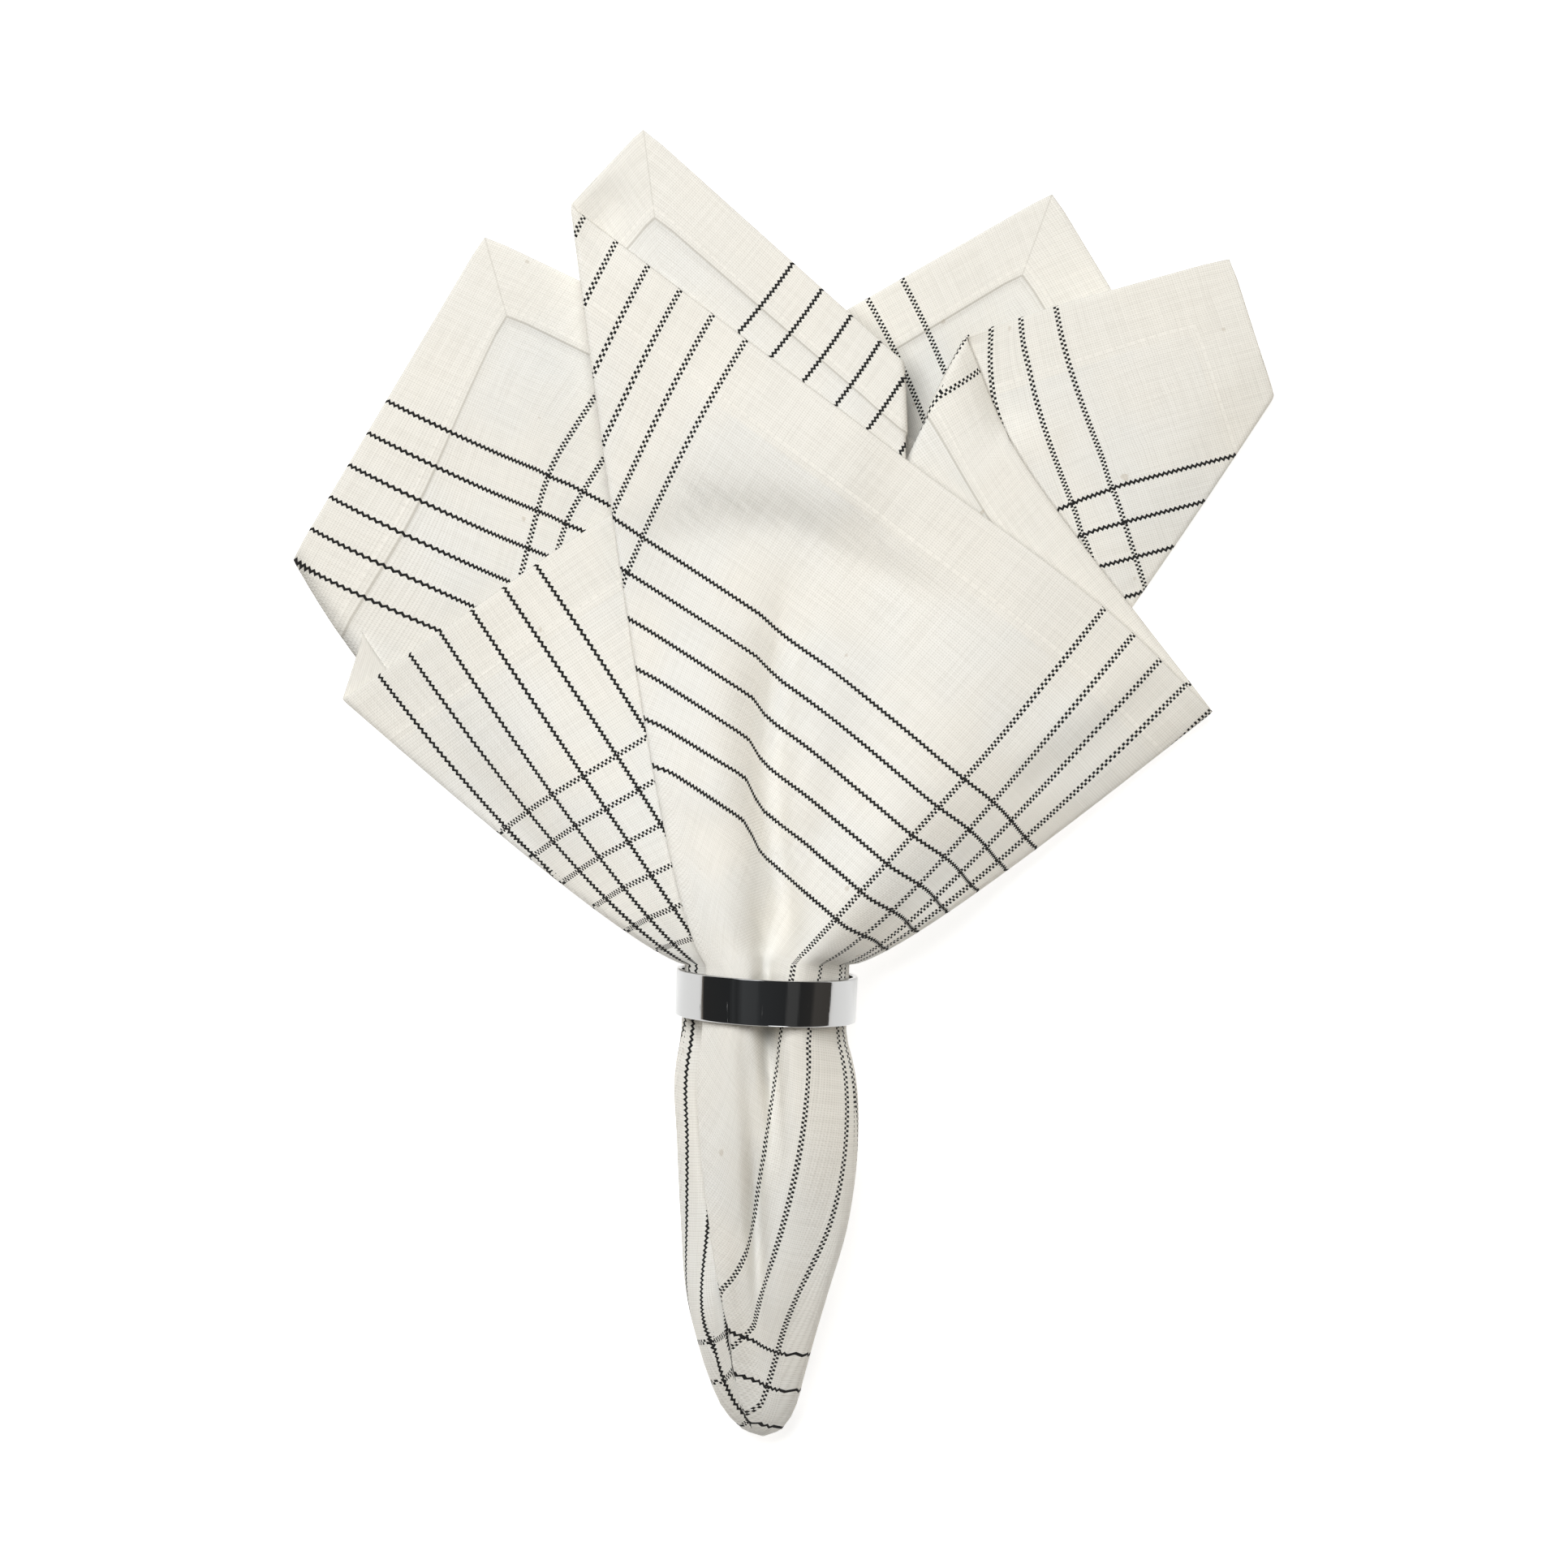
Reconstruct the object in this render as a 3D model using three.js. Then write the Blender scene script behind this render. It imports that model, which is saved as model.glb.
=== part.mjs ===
// A square cloth napkin pulled by its middle through a narrow steel ring, lying on a table.
// Millimetres. The tail points to -Y, the four corners fan out to +Y, +Z is up, and the table is z = 0.

import * as THREE from "three";

// The cloth
const SIDE = 450;
const CLOTH = 1.0;
const LAYER = 1.85;
const REST = CLOTH / 2;

// The ring, its middle and how far it leans and turns
const RING_OUTER = 21.5;
const RING_WALL = 1.3;
const RING_BAND = 11;
const RING_X = -4.2;
const RING_Y = -49.8;
const RING_LEAN = THREE.MathUtils.degToRad(5);
const RING_TURN = THREE.MathUtils.degToRad(-2.9);

// The gathered neck inside the ring
const FIT_GAP = 0.35;
const NECK_RADIUS = RING_OUTER - RING_WALL - FIT_GAP - CLOTH / 2;
const RING_CLEAR = 0.1;
const RING_LOW = RING_OUTER * Math.cos(RING_LEAN) + (RING_BAND - RING_WALL) / 2 * Math.sin(RING_LEAN);
const NECK_Z = RING_LOW + RING_CLEAR;
const NECK_FLAT = 108;
const EXIT_Y = -42.5;
const EXIT_FLAT = NECK_FLAT + EXIT_Y - RING_Y;
const NECK_SIDE = [0.4, 1];

// Where the pleats of the tail begin and end, as distance from the middle of the flat cloth
const PLEATS_START = 24;
const PLEATS_FULL = 98;

// How far from the neck the cloth takes to sink to the table, and the bearings of the fan's flanks
const SINK_LENGTH = 96;
const SINK_HALF = 0.9 * NECK_RADIUS;
const FAN_EYE = 30;
const LEFT_FLANK = [24, 42];
const RIGHT_FLANK = [16, 36];

// The valley down the front of the neck and tail, and where along the flat cloth it deepens
const VALLEY_DEPTH = 8;
const VALLEY_WIDTH = 5.5;
const VALLEY_ACROSS = -1;
const VALLEY_RUN = [12, 90];

// Folds and other ribs of the cloth, in order round the hem. hem: distance along the hem from the right
// corner. x, y: where the rib meets the hem. bendX, bendY: where it bends after the ring. neck: its place
// across the neck, -1 left to 1 right. turn: its bearing round the tip of the tail, 0 up, 90 right.
const RIB_COLUMNS = ["name", "kind", "hem", "x", "y", "bendX", "bendY", "neck", "turn"];
const RIBS = table(RIB_COLUMNS, [
  ["right fold", "fold", -35, 116.2, 91.6, 50, -10, 0.95, 124],
  ["right corner", "corner", 0, 105.6, 124.7, 40, 0, 0.65, 117],
  ["right line", "line", 44.5, 64.3, 113.1, 18, 10, 0.4, 113],
  ["right roll", "fold", 88, 43.1, 106, -4, 15, 0.1, 108],
  ["inner edge", "line", 128, 56.6, 76.2, 16, -5, 0.5, 100],
  ["front right", "fold", 198, 101.6, 17, 24, -39.5, 1, 92],
  ["front band", "line", 250.5, 75.8, 41.6, 20, -36, 0.93, 50],
  ["front valley", "line", 330, 11, 89, -2, -30, -0.07, 0],
  ["front middle", "line", 354.5, -8.9, 105.1, -9, -30, -0.5, -24],
  ["front left", "fold", 410, -50.6, 136.8, -25, -32, -0.86, -48],
  ["top corner", "corner", 450, -33.3, 155.2, -16, -25, -0.4, -64],
  ["top fold", "fold", 547, 28.1, 100, 26, 20, 0.3, -68],
  ["left edge", "line", 632, -42.5, 62.7, -20, -30, -0.6, -80],
  ["left fold", "fold", 708, -104.7, 20, -28, -35, -1, -98],
  ["left notch", "corner", 758, -99.5, 36, -24, -35, -0.85, -108],
  ["left outer", "corner", 809, -116.7, 53.1, -20, -33, -0.7, -115],
  ["left corner", "corner", 900, -71, 130, -14, -20, -0.3, -122],
  ["under right", "fold", 1040, 60, 68, 16, -20, 0.6, -135],
  ["under left", "fold", 1165, -61, 57, -6, -15, -0.5, -150],
  ["back corner", "corner", 1350, 63.7, 140.3, 4, -20, 0.2, -180],
  ["back fold", "fold", 1414, 97, 85, 30, -25, 0.95, -202],
  ["back tuck", "fold", 1575, -60, 50, -14, -22, -0.4, -220],
]);

// Leaves of cloth between the folds, in the same order, with their height in the stack. neck columns: -1 is
// the bottom of the ring and 1 its top. rim columns: layers above the table, at the left, middle and right.
const LEAF_COLUMNS = ["name", "neckLeft", "neckMid", "neckRight", "rimLeft", "rimMid", "rimRight"];
const LEAVES = table(LEAF_COLUMNS, [
  ["right", 0.18, 0.17, -0.16, 3.3, 5, 3.8],
  ["inner", 0.26, 0.35, 0.04, 3.4, 6, 4.9],
  ["front", 0.9, 1, 0.4, 5.8, 9, 6.4],
  ["top", 0.72, 0.79, 0.79, 4.8, 8, 5.6],
  ["left", 0.3, 0.53, 0.53, 1.3, 7, 5.2],
  ["left back", -0.55, -0.51, -0.76, 0, 2, 1.3],
  ["under", -0.78, -0.75, -0.88, 0.9, 1, 0.5],
  ["back", -1, -1, -1, 0, 0, 0],
  ["back upper", -0.2, -0.27, -0.62, 2.6, 3, 1.9],
  ["back top", 0.04, -0.02, -0.42, 3.2, 4, 2.8],
]);

// Sections of the tail, by distance from the middle of the flat cloth
const TAIL_COLUMNS = ["flat", "y", "x", "half", "low", "high"];
const TAIL = table(TAIL_COLUMNS, [
  [0, -154.2, -5, 0, 7, 7],
  [4, -153.6, -5, 3.2, 3, 10.5],
  [9, -151.4, -5.4, 6.4, 0, 14],
  [16, -145.5, -6, 8.9, -0.4, 18],
  [26, -136.2, -6.6, 11.9, -0.4, 22],
  [40, -122.6, -5.8, 15.6, -0.4, 27],
  [58, -103.6, -4.4, 18.9, -0.4, 32],
  [76, -84.4, -4.4, 20.4, -0.2, 36.6],
  [92, -67, -5, 20, 0.5, 39],
]);

// Rows of the mesh, how softly they turn at the folds, and the spacing of the columns
const FAN_ROWS = [0.04, 0.1, 0.17, 0.26, 0.36, 0.46, 0.57, 0.68, 0.79, 0.9, 1];
const NECK_ROWS = [99, 103.5, 108, 112];
const TAIL_SOFTNESS = 7;
const NECK_SOFTNESS = 3.4;
const HEM_SOFTNESS = 2;
const SOFT_LIMIT = 1 / 20;
const SOFT_STEPS = 8;
const NECK_STARTS = 0.6;
const FOLD_REACH = 2.6;
const FOLD_STEPS = [0.3, 0.65, 1];
const FOLD_LIMIT = 0.42;
const NECK_SPREAD = 4;
const COLUMN_PITCH = 34;

function table(columns, rows) {
  return rows.map((row) => Object.fromEntries(columns.map((column, i) => [column, row[i]])));
}

function mix(a, b, t) {
  return a + (b - a) * t;
}

function ease(low, high, value) {
  return THREE.MathUtils.smoothstep(value, low, high);
}

// A row's value at a place along the hem: smooth through the ribs of a leaf, sharp at corners and folds
function alongRibs(column, values) {
  const { rib, next, share } = column;
  const last = RIBS.length;
  const before = RIBS[rib].kind === "line" ? (rib + last - 1) % last : rib;
  const after = RIBS[next].kind === "line" ? (next + 1) % last : next;
  const span = hemGap(rib, next);
  const rise = values[next] - values[rib];
  const startSlope = before === rib ? rise / span : (values[next] - values[before]) / hemGap(before, next);
  const endSlope = after === next ? rise / span : (values[after] - values[rib]) / hemGap(rib, after);
  const t = share;
  const start = values[rib] * (2 * t ** 3 - 3 * t * t + 1) + startSlope * span * (t ** 3 - 2 * t * t + t);
  return start + values[next] * (3 * t * t - 2 * t ** 3) + endSlope * span * (t ** 3 - t * t);
}

function hemGap(from, to) {
  return THREE.MathUtils.euclideanModulo(RIBS[to].hem - RIBS[from].hem, 4 * SIDE);
}

// Columns of the cloth: one at each rib, some close beside each fold, and more between them. spread is how
// far apart, along the hem, the columns beside a fold lie: more where the cloth is gathered.
function clothColumns(spread) {
  const columns = [];
  let leaf = -1;
  RIBS.forEach((rib, index) => {
    const next = (index + 1) % RIBS.length;
    const span = hemGap(index, next);
    const leaves = rib.kind === "fold";
    const meets = RIBS[next].kind === "fold";
    const reach = Math.min(FOLD_REACH * spread, FOLD_LIMIT * span);
    const steps = FOLD_STEPS.map((step) => step * reach);
    const fromFold = leaves ? steps : [];
    const toFold = meets ? steps.map((step) => span - step).reverse() : [];
    const first = leaves ? reach : 0;
    const end = meets ? span - reach : span;
    const parts = Math.max(1, Math.round(span / COLUMN_PITCH));
    const inside = Array.from({ length: parts - 1 }, (_, i) => mix(first, end, (i + 1) / parts));
    leaf += leaves ? 1 : 0;
    for (const step of [0, ...fromFold, ...inside, ...toFold]) {
      const fromStart = leaves ? step / reach : 1;
      const fromEnd = meets ? (span - step) / reach : 1;
      const beside = fromStart <= fromEnd ? leaf - 1 : leaf + 1;
      const round = Math.min(fromStart, fromEnd, 1);
      columns.push({ rib: index, next, share: step / span, hem: rib.hem + step, leaf, beside, round });
    }
  });
  return columns;
}

// A height from the leaf's own columns, meeting at a fold the leaf on its other side
function stackHeight(column, pick, step) {
  const own = pick(LEAVES[column.leaf]);
  const other = pick(LEAVES[(column.beside + LEAVES.length) % LEAVES.length]);
  return mix((own + other) / 2, own, Math.min(column.round / step, 1));
}

function threeWay(left, middle, right, leftShare, rightShare) {
  return middle + (left - middle) * leftShare + (right - middle) * rightShare;
}

// Section of the tail, neck or ring at a distance from the middle of the flat cloth
function sectionAt(flat) {
  const lean = Math.tan(RING_LEAN);
  const turn = -Math.tan(RING_TURN);
  const ringStart = NECK_ROWS[0];
  if (flat >= ringStart) {
    const ahead = flat - NECK_FLAT;
    const middle = NECK_Z + lean * ahead;
    const half = NECK_RADIUS;
    return { y: RING_Y + ahead, x: RING_X + turn * ahead, half, low: middle - half, high: middle + half };
  }
  const rows = [...TAIL, { flat: ringStart, ...sectionAt(ringStart) }];
  const index = rows.findIndex((row) => row.flat > flat);
  const [a, b] = [rows[index - 1], rows[index]];
  const t = (flat - a.flat) / (b.flat - a.flat);
  const pick = (name) => mix(a[name], b[name], t);
  return { y: pick("y"), x: pick("x"), half: pick("half"), low: pick("low"), high: pick("high") };
}

// The neck's stack of leaves, pressed from a square into a round section
function neckPlace(column) {
  const across = alongRibs(column, RIBS.map((rib) => rib.neck));
  const left = ease(...NECK_SIDE, -across);
  const right = ease(...NECK_SIDE, across);
  const pick = (leaf) => threeWay(leaf.neckLeft, leaf.neckMid, leaf.neckRight, left, right);
  const level = stackHeight(column, pick, FOLD_STEPS[0]);
  const slope = stackHeight(column, pick, 1);
  const place = new THREE.Vector2(
    across * Math.sqrt(1 - slope * slope / 2),
    level * Math.sqrt(1 - across * across / 2),
  );
  return place.clampLength(0, 1);
}

function tipPlace(column) {
  const turns = RIBS.map((rib) => rib.turn);
  const start = turns[column.rib];
  const drop = THREE.MathUtils.euclideanModulo(start - turns[column.next], 360);
  const turn = THREE.MathUtils.degToRad(start - drop * column.share);
  return new THREE.Vector2(Math.sin(turn), Math.cos(turn));
}

// A point of the cloth's middle surface in the tail or the neck
function tailPoint(column, flat) {
  const section = sectionAt(flat);
  const gather = ease(PLEATS_START, PLEATS_FULL, flat);
  const tip = tipPlace(column);
  const neck = neckPlace(column);
  const across = mix(tip.x, neck.x, gather);
  const up = mix(tip.y, neck.y, gather);
  const middle = (section.low + section.high) / 2;
  const tall = (section.high - section.low) / 2;
  const x = section.x + section.half * across;
  const z = middle + tall * up - frontValley(x - section.x, flat) * (up + 1) / 2;
  return new THREE.Vector3(x, section.y, Math.max(z, REST));
}

function frontValley(across, flat) {
  const depth = VALLEY_DEPTH * ease(...VALLEY_RUN, flat);
  return depth * Math.exp(-(((across - VALLEY_ACROSS) / VALLEY_WIDTH) ** 2));
}

// A rib's path over the table from the ring to the hem, by its share of the path's length
function ribPath(rib, start) {
  const bend = new THREE.Vector2(rib.bendX, rib.bendY);
  const end = new THREE.Vector2(rib.x, rib.y);
  return new THREE.QuadraticBezierCurve(new THREE.Vector2(start.x, start.y), bend, end);
}

// A point of the cloth's middle surface in the fan
function fanPoint(column, share, paths) {
  const points = paths.map((path) => path.getPointAt(share));
  const plan = new THREE.Vector2(
    alongRibs(column, points.map((point) => point.x)),
    alongRibs(column, points.map((point) => point.y)),
  );
  const exit = tailPoint(column, EXIT_FLAT);
  const aside = Math.max(Math.abs(plan.x - RING_X) - SINK_HALF, 0);
  const sunk = ease(0, SINK_LENGTH, Math.hypot(aside, plan.y - EXIT_Y));
  plan.x += (1 - sunk) * (exit.x - alongRibs(column, paths.map((path) => path.v0.x)));
  const bearing = THREE.MathUtils.radToDeg(Math.atan2(plan.x - RING_X, plan.y - EXIT_Y + FAN_EYE));
  const left = ease(...LEFT_FLANK, -bearing);
  const right = ease(...RIGHT_FLANK, bearing);
  const pick = (leaf) => threeWay(leaf.rimLeft, leaf.rimMid, leaf.rimRight, left, right);
  const level = stackHeight(column, pick, FOLD_STEPS[0]);
  const z = mix(exit.z, REST + level * LAYER, sunk);
  return new THREE.Vector3(plan.x, plan.y, Math.max(z, REST));
}

// A closed row of points with its corners rounded: each point is a weighted mean of the row near it, and
// comes with the row's direction there
function softenRow(points, softness) {
  const count = points.length;
  const lengths = points.map((point, i) => point.distanceTo(points[(i + 1) % count]));
  const starts = [0];
  lengths.forEach((length, i) => starts.push(starts[i] + length));
  const total = starts[count];
  const pointAt = (length) => {
    const along = THREE.MathUtils.euclideanModulo(length, total);
    const index = Math.min(starts.findLastIndex((start) => start <= along), count - 1);
    const share = lengths[index] > 0 ? (along - starts[index]) / lengths[index] : 0;
    return points[index].clone().lerp(points[(index + 1) % count], share);
  };
  const reach = Math.min(softness, total * SOFT_LIMIT);
  const meanAt = (length) => {
    const mean = new THREE.Vector3();
    let weights = 0;
    for (let step = -SOFT_STEPS; step <= SOFT_STEPS; step += 1) {
      const weight = 1 - Math.abs(step) / (SOFT_STEPS + 1);
      mean.addScaledVector(pointAt(length + reach * step / SOFT_STEPS), weight);
      weights += weight;
    }
    return mean.divideScalar(weights);
  };
  return points.map((_, i) => {
    const near = reach / SOFT_STEPS;
    const direction = meanAt(starts[i] + near).sub(meanAt(starts[i] - near)).normalize();
    return { point: meanAt(starts[i]), direction };
  });
}

// Rows of points of the middle surface, from beside the tip to the hem
function clothRows() {
  const tailFlats = [...TAIL.slice(1).map((row) => row.flat), ...NECK_ROWS, EXIT_FLAT];
  const rows = tailFlats.map((flat) => {
    const columns = clothColumns(NECK_SPREAD * Math.max(NECK_FLAT / flat, 1));
    const softness = mix(TAIL_SOFTNESS, NECK_SOFTNESS, ease(NECK_STARTS, 1, flat / NECK_FLAT));
    return softenRow(columns.map((column) => tailPoint(column, flat)), softness);
  });
  const ribColumns = clothColumns(1).filter((column) => column.share === 0);
  const paths = ribColumns.map((column) => ribPath(RIBS[column.rib], tailPoint(column, EXIT_FLAT)));
  for (const share of FAN_ROWS) {
    const columns = clothColumns(1 / mix(1 / NECK_SPREAD, 1, share));
    const softness = mix(NECK_SOFTNESS, HEM_SOFTNESS, share);
    rows.push(softenRow(columns.map((column) => fanPoint(column, share, paths)), softness));
  }
  return rows;
}

// The closed sheet: an outer and an inner face half a thickness from the middle surface, joined at the hem
function clothGeometry() {
  const rows = clothRows();
  const count = rows[0].length;
  const tip = new THREE.Vector3(TAIL[0].x, TAIL[0].y, TAIL[0].high);
  const outward = rows.map((row, r) => row.map(({ direction }, c) => {
    const ahead = rows[Math.min(r + 1, rows.length - 1)][c].point;
    const behind = r > 0 ? rows[r - 1][c].point : tip;
    return ahead.clone().sub(behind).cross(direction).normalize();
  }));
  const face = (amount) => [
    tip.clone().add(new THREE.Vector3(0, -amount, 0)),
    ...rows.flatMap((row, r) => (
      row.map(({ point }, c) => point.clone().addScaledVector(outward[r][c], amount))
    )),
  ];
  const place = (row, column) => 1 + row * count + (column % count);
  const faces = [];
  for (let column = 0; column < count; column += 1) {
    faces.push([0, place(0, column), place(0, column + 1)]);
    for (let row = 0; row + 1 < rows.length; row += 1) {
      const [a, b] = [place(row, column), place(row, column + 1)];
      const [c, d] = [place(row + 1, column + 1), place(row + 1, column)];
      faces.push([a, c, b], [a, d, c]);
    }
  }
  const total = 1 + rows.length * count;
  const hem = rows.length - 1;
  const closed = [...faces, ...faces.map(([a, b, c]) => [a + total, c + total, b + total])];
  for (let column = 0; column < count; column += 1) {
    const [a, b] = [place(hem, column), place(hem, column + 1)];
    closed.push([a, a + total, b], [b, a + total, b + total]);
  }
  const sheet = new THREE.BufferGeometry();
  sheet.setFromPoints([...face(CLOTH / 2), ...face(-CLOTH / 2)]);
  sheet.setIndex(closed.flat());
  sheet.computeVertexNormals();
  return sheet;
}

function makeNapkin() {
  const material = new THREE.MeshStandardMaterial({ color: 0xece8df, roughness: 0.92, metalness: 0 });
  const mesh = new THREE.Mesh(clothGeometry(), material);
  mesh.name = "napkin";
  return mesh;
}

// The ring's band, rounded at both edges and turned round its axis
function ringProfile() {
  const inner = RING_OUTER - RING_WALL;
  const round = RING_WALL / 2;
  const half = RING_BAND / 2 - round;
  const shape = new THREE.Shape();
  shape.absarc(inner + round, half, round, 0, Math.PI, false);
  shape.absarc(inner + round, -half, round, Math.PI, 2 * Math.PI, false);
  shape.closePath();
  return shape.getPoints(3);
}

function makeRing() {
  const material = new THREE.MeshStandardMaterial({ color: 0xc9cbcd, roughness: 0.12, metalness: 1 });
  const mesh = new THREE.Mesh(new THREE.LatheGeometry(ringProfile(), 80), material);
  mesh.name = "ring";
  mesh.rotation.set(RING_LEAN, 0, RING_TURN, "ZXY");
  mesh.position.set(RING_X, RING_Y, NECK_Z);
  return mesh;
}

const napkinInRing = new THREE.Group();
napkinInRing.add(makeNapkin(), makeRing());

export default napkinInRing;
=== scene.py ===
"""A square cotton napkin with line bands, pulled by its middle through a polished steel ring."""

import math
from collections import namedtuple

import bpy
import numpy as np
from bpy.props import FloatProperty, FloatVectorProperty, PointerProperty
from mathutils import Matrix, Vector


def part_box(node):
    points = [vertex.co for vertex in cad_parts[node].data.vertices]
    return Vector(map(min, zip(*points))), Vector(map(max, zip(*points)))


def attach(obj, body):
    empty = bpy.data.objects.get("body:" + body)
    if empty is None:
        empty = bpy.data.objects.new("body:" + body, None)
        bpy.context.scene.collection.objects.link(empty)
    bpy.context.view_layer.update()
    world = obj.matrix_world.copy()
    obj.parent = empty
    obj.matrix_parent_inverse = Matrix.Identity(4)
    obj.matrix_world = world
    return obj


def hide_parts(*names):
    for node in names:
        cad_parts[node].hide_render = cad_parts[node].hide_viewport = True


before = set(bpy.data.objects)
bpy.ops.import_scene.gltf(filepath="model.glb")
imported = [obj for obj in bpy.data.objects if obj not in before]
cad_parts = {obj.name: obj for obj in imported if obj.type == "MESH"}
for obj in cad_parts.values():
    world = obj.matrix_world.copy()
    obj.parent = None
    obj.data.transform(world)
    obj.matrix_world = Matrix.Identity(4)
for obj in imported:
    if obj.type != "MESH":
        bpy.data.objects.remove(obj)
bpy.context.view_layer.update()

bl_info = {
    "name": "Napkin in a Ring",
    "version": (1, 0, 0),
    "blender": (4, 5, 0),
    "location": "View3D > Sidebar > Napkin",
    "description": "Builds a hemmed cotton napkin gathered in a steel ring, with its stage",
    "category": "Add Mesh",
}

RING_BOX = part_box("ring")
MM = 0.001

# The square of cloth, in millimetres, as it lies flat: its middle is 0, 0
SIDE = 450.0
HALF = SIDE / 2
RIM = 4 * SIDE

# The height of one layer in the stack of leaves, and the least height of the cloth above the table
LAYER = 1.85
REST = 0.78

# The ring's middle, lean and turn, and the neck of cloth inside it. NECK_SIDE: where across the neck a
# leaf bends to its side height. PLEATS: where along the tail its section turns into the neck's stack.
RING_X = -4.2
RING_Y = -49.8
RING_LEAN = math.radians(5)
RING_TURN = math.radians(-2.9)
NECK_RADIUS = 19.5
NECK_Z = 21.94
NECK_FLAT = 108.0
RING_FLAT = 99.0
EXIT_Y = -42.5
EXIT_FLAT = NECK_FLAT + EXIT_Y - RING_Y
NECK_SIDE = (0.6, 1.0)
PLEATS = (10.0, 80.0)

# The fan: how far it takes to sink to the table, and its flanks' bearings from a point behind the ring
SINK_LENGTH = 96.0
SINK_HALF = 17.4
FAN_EYE = 30.0
LEFT_FLANK = (30.0, 48.0)
RIGHT_FLANK = (26.0, 46.0)

# The valley down the front of the tail and neck, by distance from the middle of the flat cloth
VALLEY_LEFT = 4.6
VALLEY_RIGHT = 3.0
Valley = namedtuple("Valley", "flat across depth")
VALLEYS = [
    Valley(8, 0.5, 0),
    Valley(20, 0.8, 2.4),
    Valley(40, -0.8, 4.5),
    Valley(57, -1.6, 6),
    Valley(76, 0, 7.5),
    Valley(100, 1.2, 8.5),
]

# Small gathers of the cloth hidden inside the tail, the ring and the root of the fan, in cores along y
GATHER_SHARE = 0.24
GATHER_LENGTH = 8.5
GATHER_TURN = 70.0
Core = namedtuple("Core", "y middle tall share")
CORES = [
    Core(-140, 9, 8, 0),
    Core(-118, 13.5, 13.5, 1),
    Core(-84, 18.2, 18, 1),
    Core(-50, 21.9, 19.2, 1),
    Core(-26, 20, 18.5, 1),
    Core(0, 15.5, 14, 0.9),
    Core(26, 12, 10, 0),
]

# Folds and other ribs of the cloth, in order round the hem. hem: distance along the hem from the right
# corner. x, y: where the rib meets the hem. bend_x, bend_y: where it bends after the ring. neck: its
# place across the neck, -1 left to 1 right. turn: its bearing round the tip of the tail, 0 up, 90 right.
# drawn: how far the weave beyond the hem is drawn towards the ring.
Rib = namedtuple("Rib", "name kind hem x y bend_x bend_y neck turn drawn")
RIBS = [
    Rib("right fold", "fold", -35, 116.2, 91.6, 50, -10, 0.95, 124, 0),
    Rib("right corner", "corner", 0, 105.6, 124.7, 40, 0, 0.65, 118, 0),
    Rib("right line", "line", 44.5, 64.3, 113.1, 18, 10, 0.4, 115, 6),
    Rib("right roll", "fold", 78, 43.1, 106, -4, 15, 0.1, 112, 6),
    Rib("inner edge", "line", 128, 56.6, 76.2, 16, -5, 0.5, 106, 0),
    Rib("front right", "fold", 209, 101.6, 17, 27, -42.5, 1, 70, 9),
    Rib("front band", "line", 250.5, 75.8, 41.6, 27, -37, 0.82, 28.5, 7.5),
    Rib("front valley", "line", 306, 30.6, 75.5, 1, -22, -0.05, 15, 4.5),
    Rib("front middle", "line", 354.5, -8.9, 105.1, -17, -22, -0.5, 3, 5.5),
    Rib("front left", "fold", 410, -50.6, 136.8, -29.5, -31, -0.95, -24, 9),
    Rib("top corner", "corner", 450, -33.3, 155.2, -10, -25, -0.4, -26, 0),
    Rib("top fold", "fold", 530, 28.1, 100, 34, 18, 0.3, -28, 0),
    Rib("left edge", "line", 632, -42.5, 62.7, -8, -15, -0.38, -39, 6),
    Rib("left line", "line", 680, -81.8, 35.7, -36, -29, -0.85, -66, 7),
    Rib("left fold", "fold", 708, -104.7, 20, -37, -39, -1, -92, 8),
    Rib("left notch", "corner", 758, -99.5, 36, -70, -10, -0.85, -105, 5),
    Rib("left outer", "corner", 809, -116.7, 53.1, -85, -5, -0.7, -113, 11),
    Rib("left band", "line", 855, -93.6, 91.9, -52, -18, -0.5, -118, 12),
    Rib("left corner", "corner", 900, -71, 130, -30, -20, -0.3, -122, 0),
    Rib("under right", "fold", 1065, 76, 60, 34, 0, 0.6, -135, 0),
    Rib("under left", "fold", 1195, -61, 69, -6, -15, -0.5, -150, 0),
    Rib("back corner", "corner", 1350, 63.7, 140.3, 4, -20, 0.2, -180, 0),
    Rib("back fold", "fold", 1414, 97, 85, 30, -25, 0.95, -202, 0),
    Rib("back tuck", "fold", 1575, -60, 50, -14, -22, -0.4, -220, 0),
]

# Leaves of cloth between the folds, in the same order, with their height in the stack. neck: -1 is the
# bottom of the ring and 1 its top. rim: layers above the table. Each at the left, middle and right.
Leaf = namedtuple("Leaf", "name neck_left neck_mid neck_right rim_left rim_mid rim_right")
LEAVES = [
    Leaf("right", 0.18, 0.17, -0.16, 3.3, 5, 3.8),
    Leaf("inner", 0.26, 0.35, 0.04, 3.4, 6, 4.9),
    Leaf("front", 0.9, 1, 0.4, 5.8, 9, 6.4),
    Leaf("top", 0.72, 0.79, 0.79, 4.8, 8, 5.6),
    Leaf("left", 0.3, 0.53, 0.53, 1.3, 7, 5.2),
    Leaf("left back", -0.55, -0.51, -0.76, 0, 2, 1.3),
    Leaf("under", -0.78, -0.75, -0.88, 0.9, 1, 0.5),
    Leaf("back", -1, -1, -1, 0, 0, 0),
    Leaf("back upper", -0.2, -0.27, -0.62, 2.6, 3, 1.9),
    Leaf("back top", 0.04, -0.02, -0.42, 3.2, 4, 2.8),
]

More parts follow.
